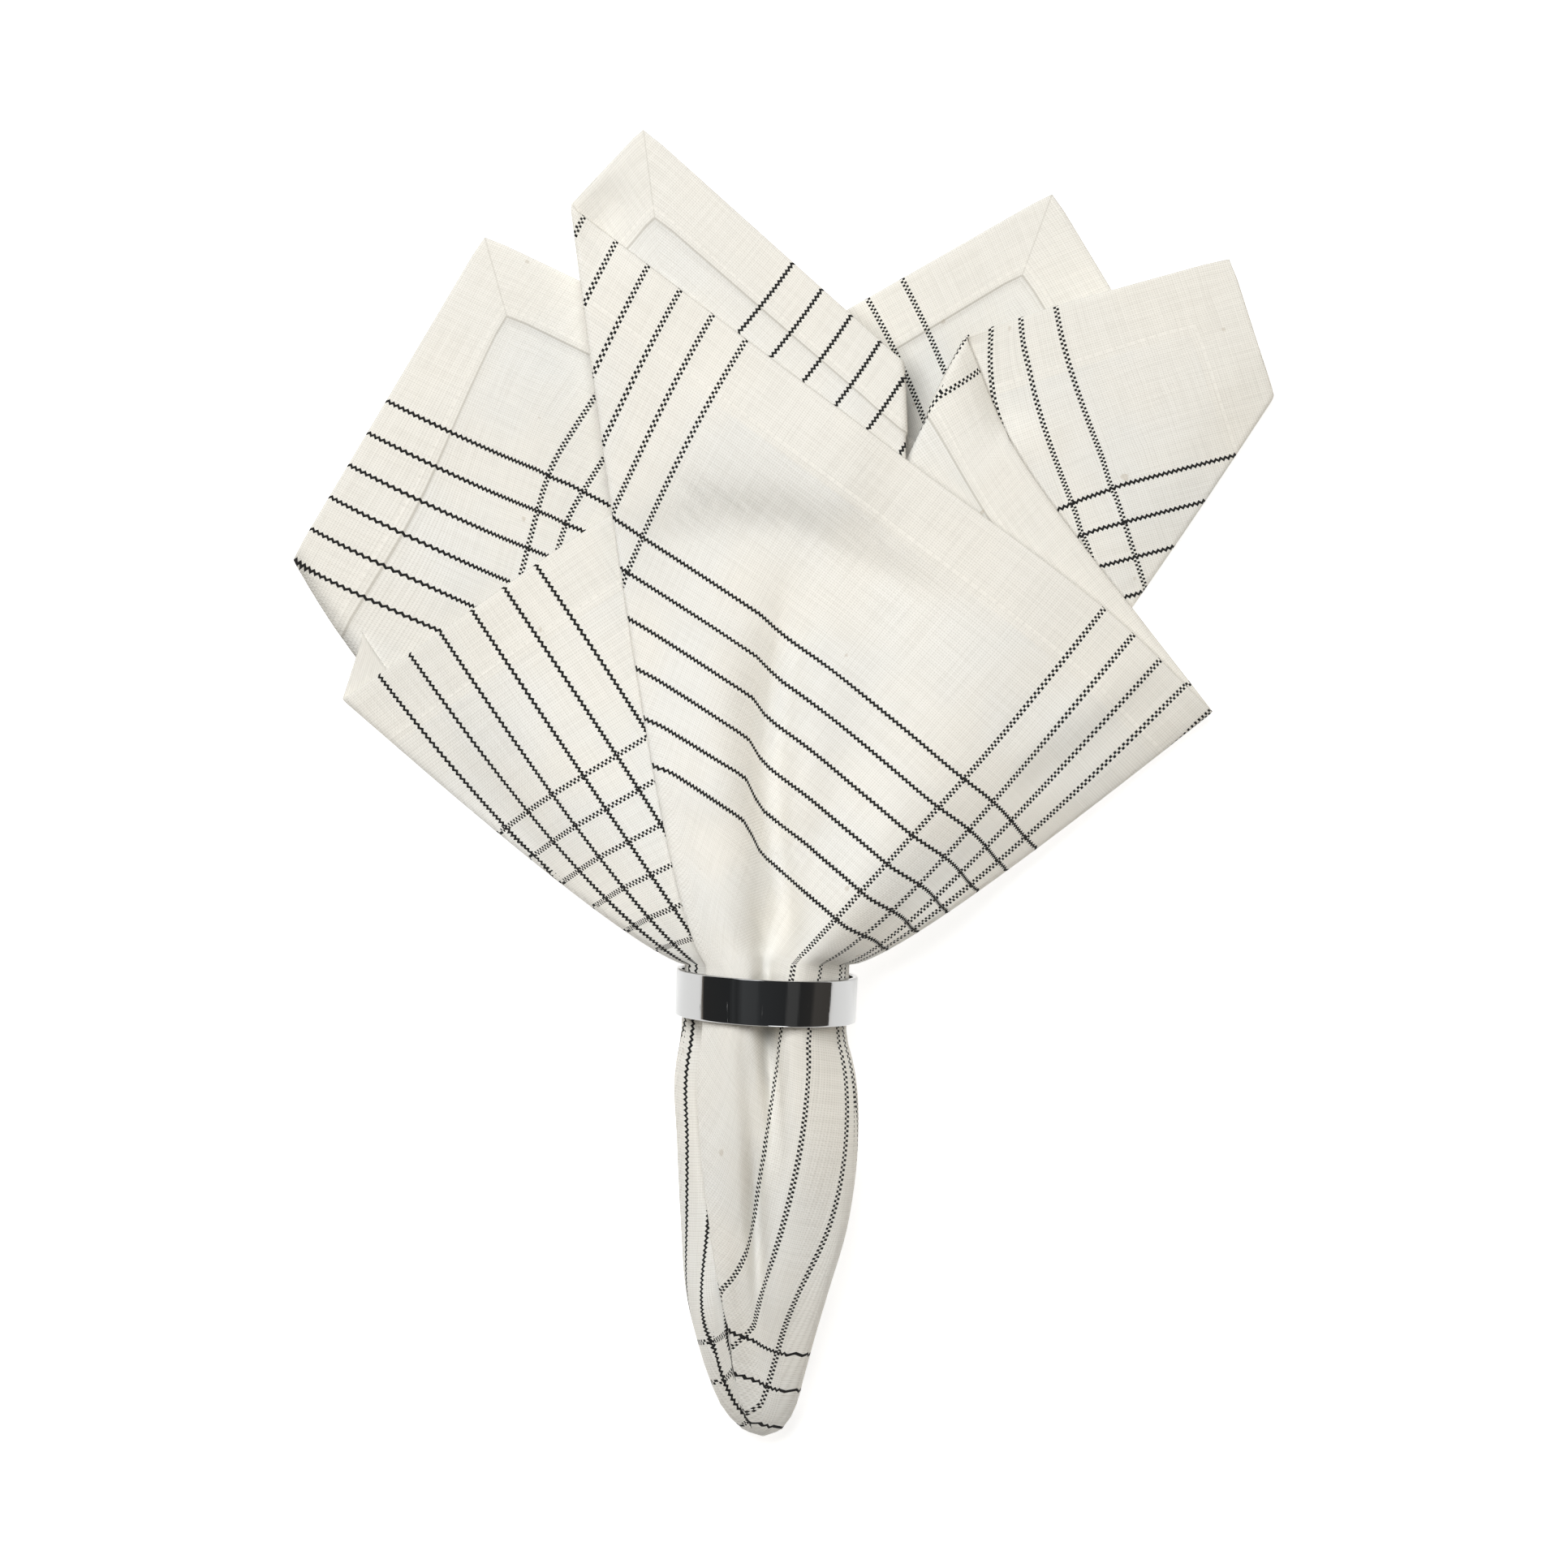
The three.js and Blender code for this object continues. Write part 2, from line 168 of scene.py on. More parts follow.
# Sections of the tail, by distance from the middle of the flat cloth
Section = namedtuple("Section", "flat y x half low high")
TAIL = [
    Section(0, -154.2, -5, 0, 7, 7),
    Section(4, -152.4, -5.2, 4.6, 3, 10.5),
    Section(9, -147.8, -5.9, 8.2, 0.2, 14),
    Section(16, -140.7, -6.5, 10.9, -0.4, 18),
    Section(26, -131.5, -6.7, 13.7, -0.4, 22.4),
    Section(40, -120.4, -6.3, 16.7, -0.4, 27.2),
    Section(58, -103.6, -4.5, 19.8, -0.4, 32),
    Section(76, -84.4, -3.8, 21.4, -0.2, 36.6),
    Section(92, -67, -4.4, 21.2, 0.5, 39),
]

# At the tip the front leaf laps over the left one: how much wider or narrower some ribs run there
TIP_LAP = {"front left": 1.02, "top corner": 0.9, "top fold": 0.86, "left edge": 0.97}

# Soft troughs and ridges, each along a path of points. left, right: how wide it is on each side, going
# along the path. fade: the length over which it fades at both ends. A leaf at the given level of the
# stack, and those above it, take the whole height, and those below it a share. form: 2 is round, 1 sharp.
Crease = namedtuple("Crease", "name level path left right height form fade")
CREASES = [
    Crease("front swell", 9, [(-24, 84), (22, 76)], 14, 14, 2.4, 2, 4),
    Crease("front hollow", 9, [(-46, 55), (-19, 60), (-1, 61), (15, 54), (44, 37)], 6, 22, -5.0, 2, 26),
    Crease("front valley", 9,
           [(4, 57), (1.8, 29), (-0.9, 16.5), (-2, 3), (-2.2, -10), (-2, -24), (-2.5, -60)],
           3.0, 7.5, -8.5, 1.6, 28),
    Crease("valley left swell", 9, [(-16, 40), (-17, -12)], 8, 9, 2.8, 2, 12),
    Crease("valley right swell", 9, [(10, 30), (4, -14)], 9, 8, 2.0, 2, 8),
    Crease("right band ridge", 7, [(50, 2), (90, 32)], 4.5, 4.5, 1.5, 2, 8),
    Crease("right band trough", 7, [(54, -4), (94, 26)], 3.8, 3.8, -1.3, 2, 8),
    Crease("front right roll", 7, [(118, 20), (70, -15), (40, -37)], 30, 12, -8.0, 2, 20),
    Crease("left edge roll", 2, [(-94, 7), (-38, -39)], 12, 30, -5.0, 2, 28),
    Crease("right leaf trough", 5, [(41.5, 110), (46, 99), (55, 80)], 6, 4, -4.4, 2, 7),
    Crease("right edge roll", 4, [(120, 98), (82, 38)], 30, 8, -2.6, 2, 8),
    Crease("top corner hollow", 8, [(-39, 143), (-44, 122)], 5, 6, -3.6, 2, 7),
    Crease("left back sag", 2, [(-92, 66), (-60, 70)], 12, 12, -1.0, 2, 4),
]

# Distances from the hem where the weave starts to be drawn, is fully drawn, fades and is back in place
DRAWN_RUN = (0.0, 45.0, 95.0, 125.0)

# Cloth swallowed by the valley in the front leaf: its path, and the flat cloth's direction across it
Swallow = namedtuple("Swallow", "y x cloth")
SWALLOWED = [
    Swallow(-46, -5, 4),
    Swallow(-10, -7.5, 8),
    Swallow(0, -7.3, 7.5),
    Swallow(10, -6.6, 4.5),
    Swallow(20, -5.4, 3.5),
    Swallow(30, -3.4, 2.2),
    Swallow(40, -2.6, 1.5),
    Swallow(56, 0, 0),
]
SWALLOW_ACROSS = np.array([-0.785, 0.618])
SWALLOW_SIDES = (-0.65, 0.35)
SWALLOW_STEP = 1.5
SWALLOW_FADE = 28.0
SWALLOW_MARGIN = 15.0

# Cloth tucked out of sight in the right roll: how much on each side of the fold, over what length, how
# suddenly at the fold, and how far from the hem it fades
TUCK_SIDES = (-4.5, 8.5)
TUCK_REACH = (33.5, 25.0)
TUCK_STEP = 0.6
TUCK_FADE = (20.0, 90.0)

# Columns of the sheet beside a fold and between folds, and its rows from the tip of the tail to the hem
FOLD_STEPS = (0.08, 0.18, 0.3, 0.45, 0.65, 0.85, 1.0)
FOLD_ROUND = 0.3
FOLD_REACH = 2.6
FOLD_LIMIT = 0.42
NECK_SPREAD = 4.0
COLUMN_PITCH = 6.0
TAIL_PITCH = 3.1
TIP_ROWS = (1.2, 2.6)
FAN_ROWS = 40
HEM_INSIDE = 20.0
HEM_ROWS = (17.5, 15.7, 15.1, 14.5, 11, 7, 3.5, 1.5, 0.5, 0)
PATH_STEPS = 160

# How square the tip of the tail is, and how full the tail's right side is
TIP_SQUARE = 0.9
TAIL_BULGE = 2.0
BULGE_ACROSS = (-0.2, 0.3)
BULGE_FADE = (70.0, 100.0)

# How far along its row each point of the cloth is softened
TAIL_SOFTNESS = 3.0
NECK_SOFTNESS = 3.4
HEM_SOFTNESS = 2.0
NECK_STARTS = 0.6
SOFT_LIMIT = 1 / 20
SOFT_STEPS = 10
SOFT_NEAR = 1 / 8

# The sheet's edge: shares of its thickness at distances from the edge, and the step where the hem ends
EDGE_PLACES = (0, 0.5, 1.5)
EDGE_SHARES = (0.35, 0.85, 1)
HEM_STEP = 0.5

# The woven lines: how many to a band, limits for keeping their width, and sizes in threads
LINES_IN_BAND = 6
WIDTH_LIMITS = (0.3, 3.0)
SMALL = 1e-4
DOT_LENGTH = 1.02
DOT_SCALE = 1.1
DOT_STEP = 1.04
ZIGZAG_SWING = 1.05
ZIGZAG_EDGES = (0.55, 0.75)

# Marks on the hem, in millimetres or shares: its end, the painted shadow along its step, the mitre, seam
# and stitches
HEM_EDGE = 0.3
STEP_SHADOW_PLACE = 0.15
STEP_SHADOW_EDGES = (0.1, 0.32)
MITRE_EDGES = (0.1, 0.4)
MITRE_SHARE = 0.5
SEAM_INSET = 1.8
SEAM_EDGES = (0.15, 0.45)
STITCH_PITCH = 2.6
STITCH_LENGTH = 1.9

# The cotton's look: noise scales, the noise levels between which it shows, shares of colours, and finish
CLOUD_SCALE = 14.0
CLOUD_EDGES = (0.35, 0.65)
SLUB_LONG = 24.0
SLUB_FINE = 760.0
SLUB_EDGES = (0.7, 1.2)
SLUB_SHARE = 0.15
SPECK_SCALE = 95.0
SPECK_EDGES = (0.76, 0.8)
HEM_SHARE = 0.65
GAP_SHADE_SHARE = 0.6
STEP_SHADOW_AND_MITRE_SHARE = 0.55
STITCH_SHARE = 0.35
SPECK_SHARE = 0.35
LINE_SHARE = 0.985
COTTON_FINISH = {
    "Roughness": 0.88,
    "Specular IOR Level": 0.12,
    "Sheen Weight": 0.06,
    "Sheen Roughness": 0.5,
}
COTTON_BUMP = 0.35
THREAD_HEIGHT = 0.12 * MM
SLUB_HEIGHT = 0.5
STITCH_DEPTH = 1.5

# The steel's scratches and smudges, and how finely the ring is divided
HAIR_SCALES = (2600.0, 160.0, 160.0)
HAIR_DETAIL = 3.0
DULL_EDGES = (0.7, 0.8)
DULL_METAL = 0.7
SCRATCH_EDGES = (0.66, 0.78)
SCRATCH_BLUR = 0.22
SMUDGE_SCALE = 130.0
SMUDGE_EDGES = (0.4, 0.75)
SMUDGE_BLUR = 0.03
STEEL_BUMP = 0.06
SCRATCH_DEPTH = 0.1 * MM
RING_SIDES = 192
EDGE_SEGMENTS = 5
SMOOTH_ANGLE = math.radians(40)

# The stage, in metres. share: how much of its setting a lamp takes. glint: it shows in the ring alone.
FLOOR_SIZE = 12.0
FLOOR_ROUGHNESS = 0.9
CAMERA_REACH = 100.0
Lamp = namedtuple("Lamp", "name size power share place colour glint")
LAMPS = [
    Lamp("key_light", 0.8, "key_power", 1, (-0.26, 0.48, 1.3), "key_colour", False),
    Lamp("left_light", 0.8, "side_power", 0.6, (-1.1, -0.1, 0.8), "side_colour", False),
    Lamp("right_light", 0.8, "side_power", 1, (1.1, 0, 0.8), "side_colour", False),
    Lamp("lower_glint", 0.35, "glint_power", 1, (0.2, -1, 0.5), "key_colour", True),
    Lamp("upper_glint", 0.5, "glint_power", 1, (-0.3, 1, 0.6), "key_colour", True),
]

# The room above the ring: degrees from upright to the right, how light it is there, and how warm
ROOM = [
    (-90, 0.3, 0.15),
    (-87, 0.04, 0),
    (-48, 0.036, -0.04),
    (-43, 0.06, -0.04),
    (-38, 0.04, -0.04),
    (-30, 0.085, -0.04),
    (-12, 0.075, -0.04),
    (-8, 0.05, -0.05),
    (25, 0.04, -0.04),
    (28, 0.09, 0),
    (41, 0.085, 0),
    (44, 0.036, 0),
    (60, 0.04, 0.03),
    (66, 0.085, 0.08),
    (90, 0.075, 0.1),
]

RIB_NAMED = {rib.name: rib for rib in RIBS}
RIB_HEM = np.array([rib.hem for rib in RIBS], float)
RIB_GAP = np.mod(RIB_HEM[None, :] - RIB_HEM[:, None], RIM)
LEAF_TABLE = np.array([leaf[1:] for leaf in LEAVES], float)
NECK_LEVELS = slice(0, 3)
RIM_LEVELS = slice(3, 6)
Columns = namedtuple("Columns", "rib after before next share hem leaf beside round")


def mix(a, b, t):
    return a + (b - a) * t


def ease(low, high, value):
    t = np.clip((value - low) / (high - low), 0, 1)
    return t * t * (3 - 2 * t)


def curve(start, end, lead, trail, t):
    """A smooth run from start to end, with its slopes at both, at a share of the way."""
    first = start * (2 * t ** 3 - 3 * t * t + 1) + lead * (t ** 3 - 2 * t * t + t)
    return first + end * (3 * t * t - 2 * t ** 3) + trail * (t ** 3 - t * t)


def flat_rim(hem):
    """Points on the hem of the flat cloth, from their distance along it."""
    around = np.mod(hem, RIM)
    edge = np.minimum((around // SIDE).astype(int), 3)
    along = around - edge * SIDE - HALF
    x = np.choose(edge, [along, np.full_like(along, HALF), -along, np.full_like(along, -HALF)])
    y = np.choose(edge, [np.full_like(along, HALF), -along, np.full_like(along, -HALF), along])
    return np.stack([x, y], axis=-1)


def cloth_columns(spread):
    """Columns of the cloth: one at each rib, some close beside each fold, and more between them."""
    rows = []
    leaf = -1
    count = len(RIBS)
    for index, rib in enumerate(RIBS):
        after = (index + 1) % count
        span = RIB_GAP[index, after]
        from_fold = rib.kind == "fold"
        to_fold = RIBS[after].kind == "fold"
        reach = min(FOLD_REACH * spread, FOLD_LIMIT * span)
        near = [step * reach for step in FOLD_STEPS]
        first = reach if from_fold else 0.0
        last = span - reach if to_fold else span
        parts = max(1, round(span / COLUMN_PITCH))
        inside = [mix(first, last, i / parts) for i in range(1, parts)]
        far = [span - step for step in reversed(near)]
        steps = [0.0, *(near if from_fold else []), *inside, *(far if to_fold else [])]
        leaf += 1 if from_fold else 0
        before = index - 1 if rib.kind == "line" else index
        beyond = (after + 1) % count if RIBS[after].kind == "line" else after
        for step in steps:
            from_start = step / reach if from_fold else 1.0
            from_end = (span - step) / reach if to_fold else 1.0
            beside = leaf - 1 if from_start <= from_end else leaf + 1
            rounded = min(from_start, from_end, 1.0)
            rows.append((index, beyond, before % count, after, step / span, rib.hem + step,
                         leaf, beside % len(LEAVES), rounded))
    table = np.array(rows, float).T
    whole = dict(zip(Columns._fields, table))
    for name in ("rib", "after", "before", "next", "leaf", "beside"):
        whole[name] = whole[name].astype(int)
    return Columns(**whole)


def along_ribs(columns, values):
    """A value at each column: smooth through the ribs of a leaf, sharp at corners and folds."""
    count = len(columns.hem)
    table = np.broadcast_to(np.asarray(values, float).reshape(len(RIBS), -1), (len(RIBS), count))
    at = np.arange(count)
    start, end = table[columns.rib, at], table[columns.next, at]
    span = RIB_GAP[columns.rib, columns.next]
    lead = (end - table[columns.before, at]) / RIB_GAP[columns.before, columns.next]
    trail = (table[columns.after, at] - start) / RIB_GAP[columns.rib, columns.after]
    return curve(start, end, lead * span, trail * span, columns.share)


def stack_height(columns, levels, left, right, step):
    """A leaf's height, meeting at a fold the leaf on its other side."""
    def height(leaf):
        low, middle, high = LEAF_TABLE[leaf, levels].T
        return middle + (low - middle) * left + (high - middle) * right

    own, other = height(columns.leaf), height(columns.beside)
    return mix((own + other) / 2, own, np.minimum(columns.round / step, 1))


def section_at(flat):
    """The outline of the tail or neck at a distance from the middle of the flat cloth."""
    if flat >= RING_FLAT:
        ahead = flat - NECK_FLAT
        middle = NECK_Z + math.tan(RING_LEAN) * ahead
        x = RING_X - math.tan(RING_TURN) * ahead
        return Section(flat, RING_Y + ahead, x, NECK_RADIUS, middle - NECK_RADIUS, middle + NECK_RADIUS)
    rows = np.array([*TAIL, section_at(RING_FLAT), section_at(NECK_FLAT)], float)
    slopes = np.gradient(rows, rows[:, 0], axis=0)
    i = int(np.searchsorted(rows[:, 0], flat, side="right")) - 1
    span = rows[i + 1, 0] - rows[i, 0]
    t = (flat - rows[i, 0]) / span
    return Section(*curve(rows[i], rows[i + 1], slopes[i] * span, slopes[i + 1] * span, t))


def neck_place(columns):
    """The neck's stack of leaves, pressed from a square into a round section."""
    across = along_ribs(columns, [rib.neck for rib in RIBS])
    left, right = ease(*NECK_SIDE, -across), ease(*NECK_SIDE, across)
    level = stack_height(columns, NECK_LEVELS, left, right, FOLD_ROUND)
    slope = stack_height(columns, NECK_LEVELS, left, right, 1.0)
    place = np.stack([across * np.sqrt(1 - slope ** 2 / 2), level * np.sqrt(1 - across ** 2 / 2)])
    return place / np.maximum(np.linalg.norm(place, axis=0), 1)


def tip_place(columns):
    """Places across and up round the tip of the tail, which is nearly square in section."""
    turns = np.array([rib.turn for rib in RIBS], float)
    drop = np.mod(turns[columns.rib] - turns[columns.next], 360)
    turn = np.radians(turns[columns.rib] - drop * columns.share)
    laps = np.array([TIP_LAP.get(rib.name, 1.0) for rib in RIBS])
    lap = mix(laps[columns.rib], laps[columns.next], columns.share)
    place = np.stack([np.sin(turn), np.cos(turn)]) * lap
    return place / np.abs(place).max(axis=0) ** TIP_SQUARE


def front_valley(across, flat):
    """Depth of the valley down the front of the tail and neck."""
    flats, middles, depths = np.array(VALLEYS).T
    away = across - np.interp(flat, flats, middles)
    width = np.where(away < 0, VALLEY_LEFT, VALLEY_RIGHT)
    return np.interp(flat, flats, depths) * np.exp(-(away / width) ** 2)


def tail_points(columns, flat):
    """Points of the cloth's middle surface in the tail or the neck."""
    section = section_at(flat)
    gather = ease(*PLEATS, flat)
    across, up = mix(tip_place(columns), neck_place(columns), gather)
    bulge = TAIL_BULGE * ease(*BULGE_ACROSS, across) * (1 - ease(*BULGE_FADE, flat))
    up = up * (1 + bulge) / (1 + bulge * np.abs(up))
    middle = (section.low + section.high) / 2
    tall = (section.high - section.low) / 2
    x = section.x + section.half * across
    z = middle + tall * up - front_valley(x - section.x, flat) * (up + 1) / 2
    return np.stack([x, np.full_like(x, section.y), np.maximum(z, REST)], axis=-1)


def rib_paths(starts, share):
    """Each rib's points over the table from the ring to the hem, at shares of its own length."""
    t = np.linspace(0, 1, PATH_STEPS)[:, None]
    paths = []
    for rib, start in zip(RIBS, starts):
        bend, end = np.array([rib.bend_x, rib.bend_y]), np.array([rib.x, rib.y])
        line = start * (1 - t) ** 2 + 2 * bend * t * (1 - t) + end * t * t
        length = np.concatenate([[0], np.cumsum(np.linalg.norm(np.diff(line, axis=0), axis=1))])
        at = share * length[-1]
        paths.append([np.interp(at, length, line[:, 0]), np.interp(at, length, line[:, 1])])
    return np.array(paths)


def fan_points(columns, share, starts):
    """Points of the cloth's middle surface in the fan, and their level in the stack."""
    paths = rib_paths(starts, share)
    x, y = along_ribs(columns, paths[:, 0]), along_ribs(columns, paths[:, 1])
    exits = tail_points(columns, EXIT_FLAT)
    aside = np.maximum(np.abs(x - RING_X) - SINK_HALF, 0)
    sunk = ease(0, SINK_LENGTH, np.hypot(aside, y - EXIT_Y))
    x = x + (1 - sunk) * (exits[:, 0] - along_ribs(columns, starts[:, 0]))
    bearing = np.degrees(np.arctan2(x - RING_X, y - EXIT_Y + FAN_EYE))
    left, right = ease(*LEFT_FLANK, -bearing), ease(*RIGHT_FLANK, bearing)
    level = stack_height(columns, RIM_LEVELS, left, right, FOLD_ROUND)
    z = mix(exits[:, 2], REST + level * LAYER, sunk)
    return np.stack([x, y, np.maximum(z, REST)], axis=-1), level


def soften_row(values, points, softness):
    """Means of a closed row's values near each point, along the row, and the row's direction there."""
    lengths = np.linalg.norm(np.roll(points, -1, axis=0) - points, axis=1)
    starts = np.concatenate([[0], np.cumsum(lengths)])
    total = starts[-1]
    reach = min(softness, total * SOFT_LIMIT)
    closed = np.vstack([values, values[:1]])

    def mean_at(place):
        sums, weights = 0.0, 0.0
        for step in range(-SOFT_STEPS, SOFT_STEPS + 1):
            weight = 1 - abs(step) / (SOFT_STEPS + 1)
            at = np.mod(place + reach * step / SOFT_STEPS, total)
            values_at = np.stack([np.interp(at, starts, column) for column in closed.T], axis=-1)
            sums = sums + weight * values_at
            weights += weight
        return sums / weights

    near = reach * SOFT_NEAR
    ahead, behind = mean_at(starts[:-1] + near), mean_at(starts[:-1] - near)
    return mean_at(starts[:-1]), ahead - behind


def inner_gathers(points):
    """Small gathers of the cloth inside the ring and tail, which fade to none at the outside."""
    x, y, z = points.T
    core_y, *shapes = np.array(CORES).T
    middle, tall, share = (np.interp(y, core_y, shape) for shape in shapes)
    up, across = (z - middle) / tall, (x - RING_X) / NECK_RADIUS
    inside = np.clip(1 - up ** 2 - across ** 2, 0, 1)
    wave = np.sin(2 * math.pi * (x / GATHER_LENGTH + y / GATHER_TURN))
    return GATHER_SHARE * tall * share * inside * wave


def hand_creases(points, level):
    """Rise of the cloth from its soft troughs and ridges."""
    rise = np.zeros(len(points))
    for crease in CREASES:
        path = np.array(crease.path, float)
        runs = np.diff(path, axis=0)
        lengths = np.linalg.norm(runs, axis=1)
        starts = np.concatenate([[0], np.cumsum(lengths)])
        nearest, place = np.full(len(points), np.inf), np.zeros(len(points))
        for start, run, length, begun in zip(path, runs, lengths, starts):
            off = points[:, :2] - start
            along = np.clip(off @ run / length ** 2, 0, 1)
            on_left = run[0] * off[:, 1] > run[1] * off[:, 0]
            width = np.where(on_left, crease.left, crease.right)
            away = np.linalg.norm(off - along[:, None] * run, axis=1) / width
            place = np.where(away < nearest, begun + along * length, place)
            nearest = np.minimum(nearest, away)
        faded = ease(0, crease.fade, place) * ease(0, crease.fade, starts[-1] - place)
        share = np.clip(level / crease.level, 0, 1)
        rise += crease.height * np.exp(-nearest ** crease.form) * faded * share
    return rise


def drawn_cloth(columns, from_edge):
    """How far the weave is drawn towards the ring."""
    begin, full, fading, end = DRAWN_RUN
    run = ease(begin, full, from_edge) * (1 - ease(fading, end, from_edge))
    drawn = along_ribs(columns, [rib.drawn for rib in RIBS])
    edge = (np.mod(columns.hem, RIM) // SIDE).astype(int) % 4
    outward = np.array([[0, 1], [1, 0], [0, -1], [-1, 0]])[edge]
    return outward * (drawn * run)[:, None]


def tucked_cloth(columns, from_edge):
    """How far along the hem the weave is moved beside the right roll."""
    aside = columns.hem - RIB_NAMED["right roll"].hem
    near = np.clip(1 - np.abs(aside) / np.where(aside < 0, *TUCK_REACH), 0, 1)
    tuck = np.where(aside < 0, *TUCK_SIDES) * near * np.tanh(np.abs(aside) / TUCK_STEP)
    along = tuck * (1 - ease(*TUCK_FADE, from_edge))
    return np.stack([along, np.zeros_like(along)], axis=-1)


def swallowed_cloth(columns, points):
    """How far the weave of the front leaf is pulled into its valley."""
    path_y, path_x, cloth = np.array(SWALLOWED).T
    across = points[:, 0] - np.interp(points[:, 1], path_y, path_x)
    left, right = SWALLOW_SIDES
    share = mix(left, right, (1 + np.tanh(across / SWALLOW_STEP)) / 2)
    pulled = np.interp(points[:, 1], path_y, cloth) * np.exp(-np.abs(across) / SWALLOW_FADE) * share
    from_right = columns.hem - RIB_NAMED["front right"].hem
    from_left = RIB_NAMED["front left"].hem - columns.hem
    inside = np.minimum(from_right, from_left)
    return SWALLOW_ACROSS * (pulled * ease(0, SWALLOW_MARGIN, inside))[:, None]


def woven_places(columns, flat, points):
    """Flat places as the weave shows them: drawn to the ring, tucked in the roll, sunk in the valley."""
    from_edge = HALF - np.abs(flat).max(axis=1)
    places = flat + drawn_cloth(columns, from_edge) + tucked_cloth(columns, from_edge)
    return places + swallowed_cloth(columns, points)


def cloth_rows():
    """Rows of points, directions and flat places, from beside the tip to the hem."""
    rows = []
    tail_flats = [*TIP_ROWS, *np.linspace(TAIL[1].flat, EXIT_FLAT, round(EXIT_FLAT / TAIL_PITCH))]
    for flat in tail_flats:
        columns = cloth_columns(NECK_SPREAD * max(NECK_FLAT / flat, 1))
        softness = mix(TAIL_SOFTNESS, NECK_SOFTNESS, ease(NECK_STARTS, 1, flat / NECK_FLAT))
        points = tail_points(columns, flat)
        middle, direction = soften_row(points, points, softness)
        middle[:, 2] += inner_gathers(middle)
        rim = flat_rim(columns.hem)
        rows.append((middle, direction, rim * flat / np.linalg.norm(rim, axis=1)[:, None]))
    ribs_only = cloth_columns(1.0)
    at_ribs = tail_points(ribs_only, EXIT_FLAT)[ribs_only.share == 0][:, :2]
    shares = [*np.linspace(0, 1, FAN_ROWS + 1)[1:], *HEM_ROWS]
    for i, value in enumerate(shares):
        spread = 1 / mix(1 / NECK_SPREAD, 1, min(value, 1) if i < FAN_ROWS else 1)
        columns = cloth_columns(spread)
        rim = flat_rim(columns.hem)
        length = np.linalg.norm(rim, axis=1)
        slope = HALF * (1 - EXIT_FLAT / length)
        share = value * (1 - HEM_INSIDE / slope) if i < FAN_ROWS else 1 - value / slope
        points, level = fan_points(columns, share, at_ribs)
        softness = mix(NECK_SOFTNESS, HEM_SOFTNESS, float(np.mean(share)))
        soft, direction = soften_row(np.column_stack([points, level]), points, softness)
        middle = soft[:, :3]
        middle[:, 2] += inner_gathers(middle) + hand_creases(middle, soft[:, 3])
        reach = (EXIT_FLAT + share * (length - EXIT_FLAT)) / length
        rows.append((middle, direction[:, :3], woven_places(columns, rim * reach[:, None], middle)))
    return rows


def line_widths(grid, flat):
    """How wide a strip across the flat cloth's x and y becomes, so that lines can keep their width."""

    def along(table, axis):
        if axis == 0:
            return np.gradient(table, axis=0)
        return (np.roll(table, -1, axis=1) - np.roll(table, 1, axis=1)) / 2

    shaped_row, shaped_column = along(grid, 0), along(grid, 1)
    flat_row, flat_column = along(flat, 0), along(flat, 1)
    area = flat_row[..., 0] * flat_column[..., 1] - flat_row[..., 1] * flat_column[..., 0]
    area = np.where(np.abs(area) < SMALL, SMALL, area)[..., None]
    by_x = (shaped_row * flat_column[..., 1:] - shaped_column * flat_row[..., 1:]) / area
    by_y = (shaped_column * flat_row[..., :1] - shaped_row * flat_column[..., :1]) / area
    share = np.linalg.norm(np.cross(by_x, by_y), axis=2)
    widths = [share / np.maximum(np.linalg.norm(other, axis=2), SMALL) for other in (by_y, by_x)]
    return [np.clip(width, *WIDTH_LIMITS) for width in widths]


